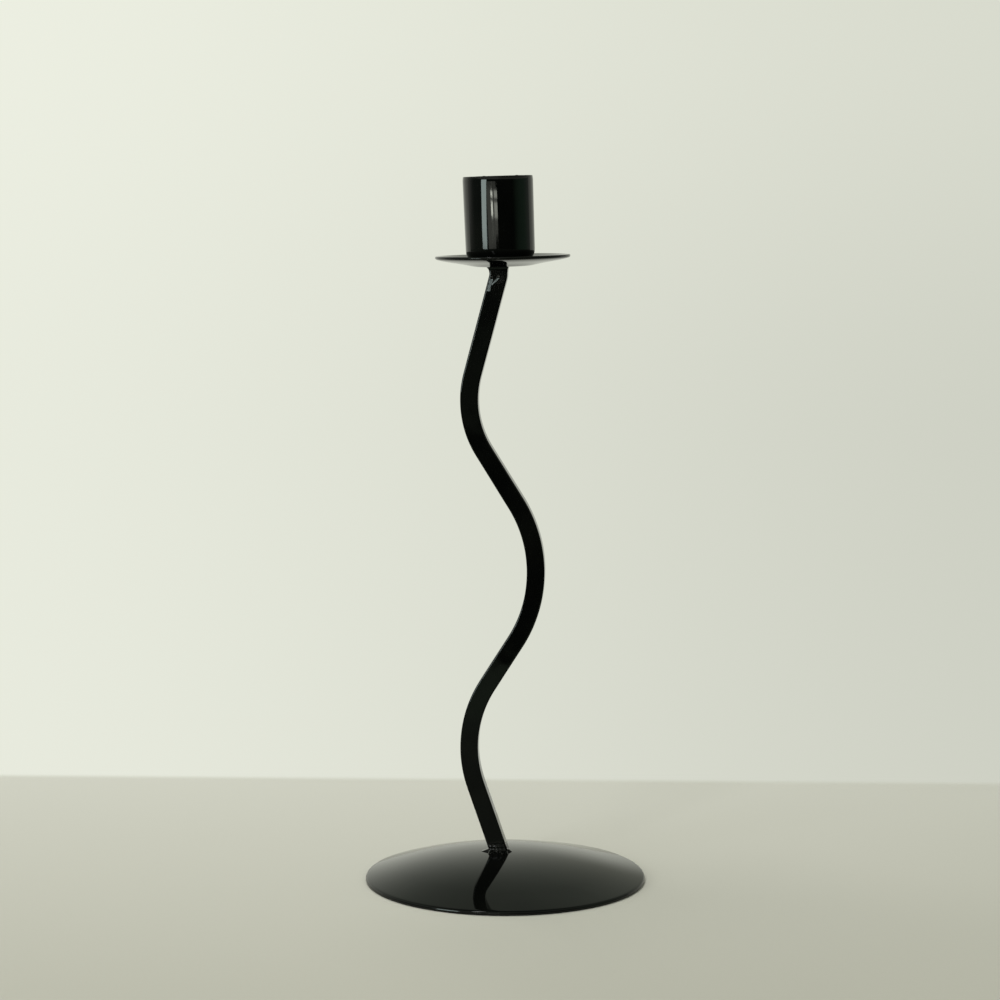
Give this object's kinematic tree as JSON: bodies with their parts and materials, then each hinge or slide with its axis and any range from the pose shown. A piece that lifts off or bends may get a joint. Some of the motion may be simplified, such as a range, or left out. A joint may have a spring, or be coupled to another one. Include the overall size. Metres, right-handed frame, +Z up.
{
  "type": "candle holder",
  "caption": "Black steel holder for a dinner candle: a square bar bent into a flat wave stands on a domed disc and carries a saucer drip tray with a round candle cup.",
  "frame": {"origin": "centre of the base disc on the table plane", "axes": "+Z up, +X to the right as seen from the front, +Y to the back; the wave of the stem lies in the XZ plane"},
  "size_m": [0.1, 0.1, 0.2505],
  "materials": {
    "base_enamel": "gloss",
    "stem_enamel": "gloss",
    "weld_enamel": "gloss",
    "tray_enamel": "gloss",
    "cup_enamel": "gloss"
  },
  "bodies": {
    "root": {"base_dish": "base_enamel", "stem": "stem_enamel", "foot_weld": "weld_enamel", "head_weld": "weld_enamel", "drip_tray": "tray_enamel", "candle_cup": "cup_enamel", "cup_weld": "weld_enamel"}
  },
  "joints": []
}
